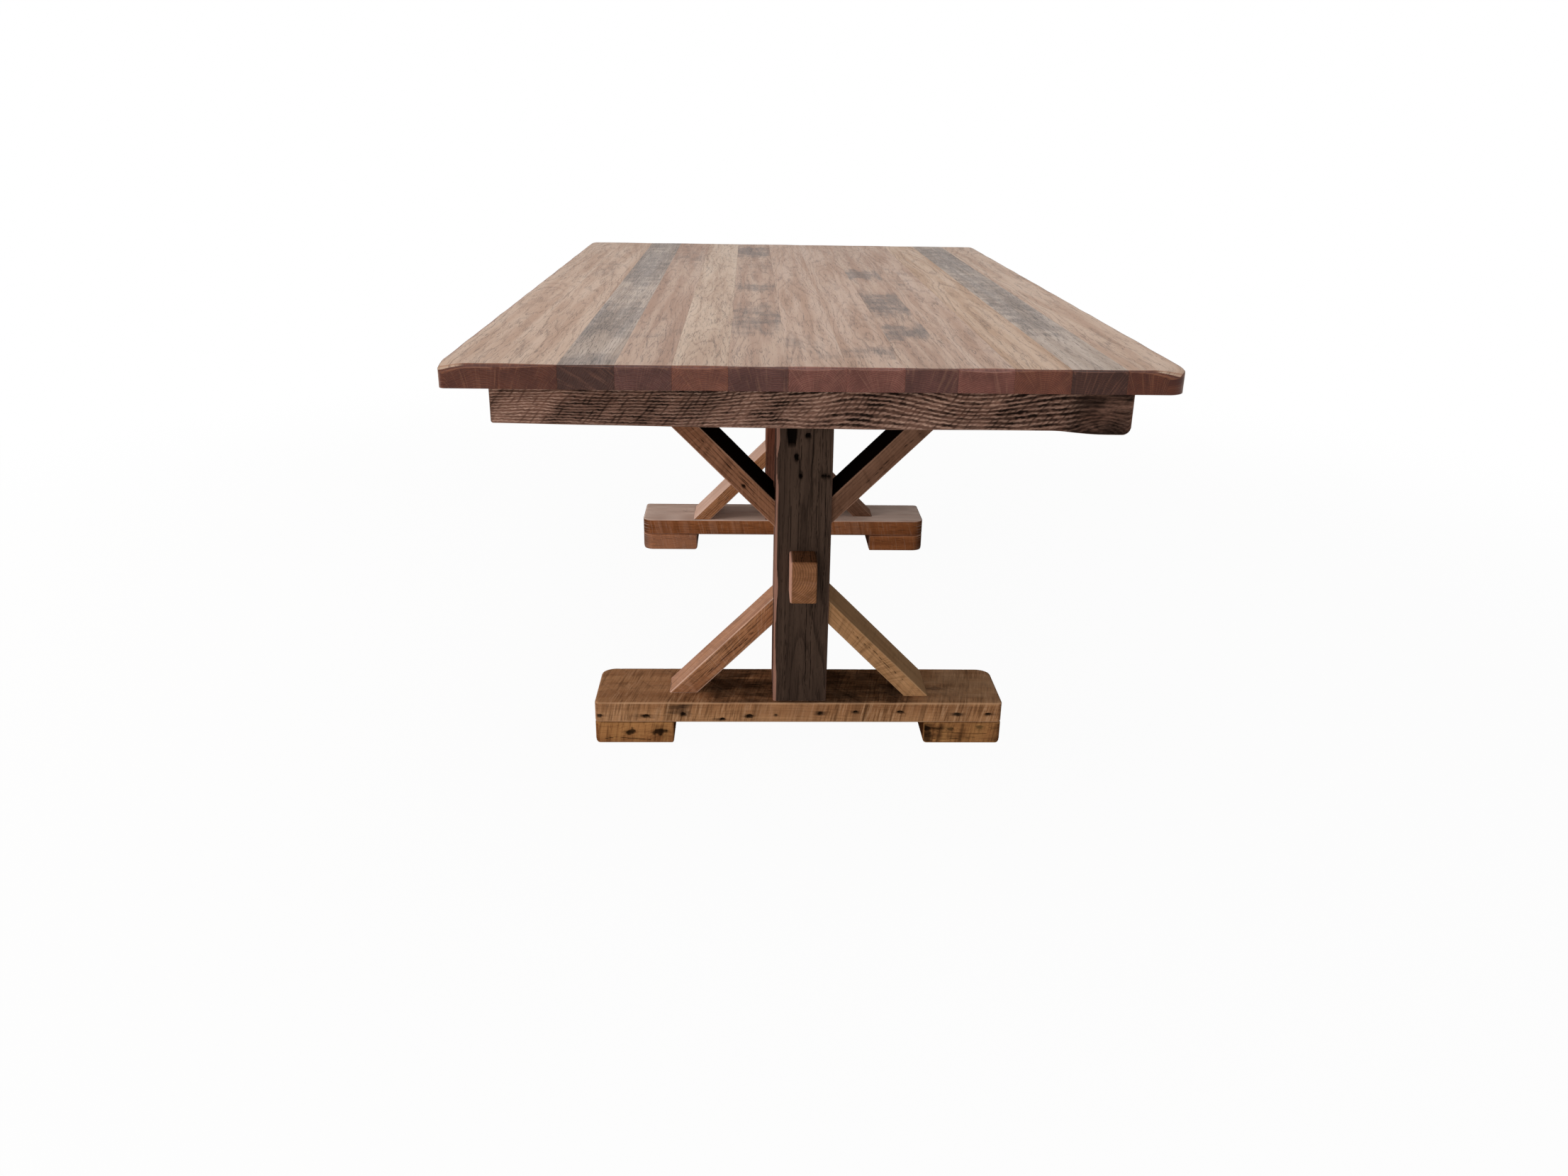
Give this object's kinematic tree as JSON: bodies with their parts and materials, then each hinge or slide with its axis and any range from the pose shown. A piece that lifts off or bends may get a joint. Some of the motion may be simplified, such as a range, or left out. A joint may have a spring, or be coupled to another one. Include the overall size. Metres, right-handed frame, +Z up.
{
  "type": "trestle dining table",
  "caption": "Rustic reclaimed-oak trestle dining table: plank top with apron on braced posts with padded feet, joined by a stretcher whose tenons pass through the posts.",
  "frame": {"origin": "on the floor under the middle of the top", "axes": "+X to the right across the table, +Y along its length from the front end to the rear end, +Z up"},
  "size_m": [1.076, 1.829, 0.762],
  "materials": {
    "top_oak": "satin clear coat over worn, stained oak",
    "apron_oak": "dark brown oiled oak with saw marks",
    "trestle_oak": "brown oiled, weathered oak",
    "inner_oak": "bare oak",
    "screw_steel": "zinc plated"
  },
  "bodies": {
    "root": {"button_screws": "screw_steel", "corner_block_screws": "screw_steel", "edge_splines": "inner_oak", "front_apron": "apron_oak", "front_bearer": "inner_oak", "front_foot": "trestle_oak", "front_left_corner_block": "inner_oak", "front_left_lower_brace": "trestle_oak", "front_left_pad": "trestle_oak", "front_left_upper_brace": "trestle_oak", "front_post": "trestle_oak", "front_right_corner_block": "inner_oak", "front_right_lower_brace": "trestle_oak", "front_right_pad": "trestle_oak", "front_right_upper_brace": "trestle_oak", "left_apron": "apron_oak", "pad_screws": "screw_steel", "rear_apron": "apron_oak", "rear_bearer": "inner_oak", "rear_foot": "trestle_oak", "rear_left_corner_block": "inner_oak", "rear_left_lower_brace": "trestle_oak", "rear_left_pad": "trestle_oak", "rear_left_upper_brace": "trestle_oak", "rear_post": "trestle_oak", "rear_right_corner_block": "inner_oak", "rear_right_lower_brace": "trestle_oak", "rear_right_pad": "trestle_oak", "rear_right_upper_brace": "trestle_oak", "right_apron": "apron_oak", "stretcher": "trestle_oak", "stretcher_pegs": "inner_oak", "top_board_01": "top_oak", "top_board_02": "top_oak", "top_board_03": "top_oak", "top_board_04": "top_oak", "top_board_05": "top_oak", "top_board_06": "top_oak", "top_board_07": "top_oak", "top_board_08": "top_oak", "top_board_09": "top_oak", "top_board_10": "top_oak", "top_board_11": "top_oak", "top_board_12": "top_oak", "top_board_13": "top_oak", "top_buttons": "inner_oak", "top_screw_washers": "screw_steel", "top_screws": "screw_steel"}
  },
  "joints": []
}
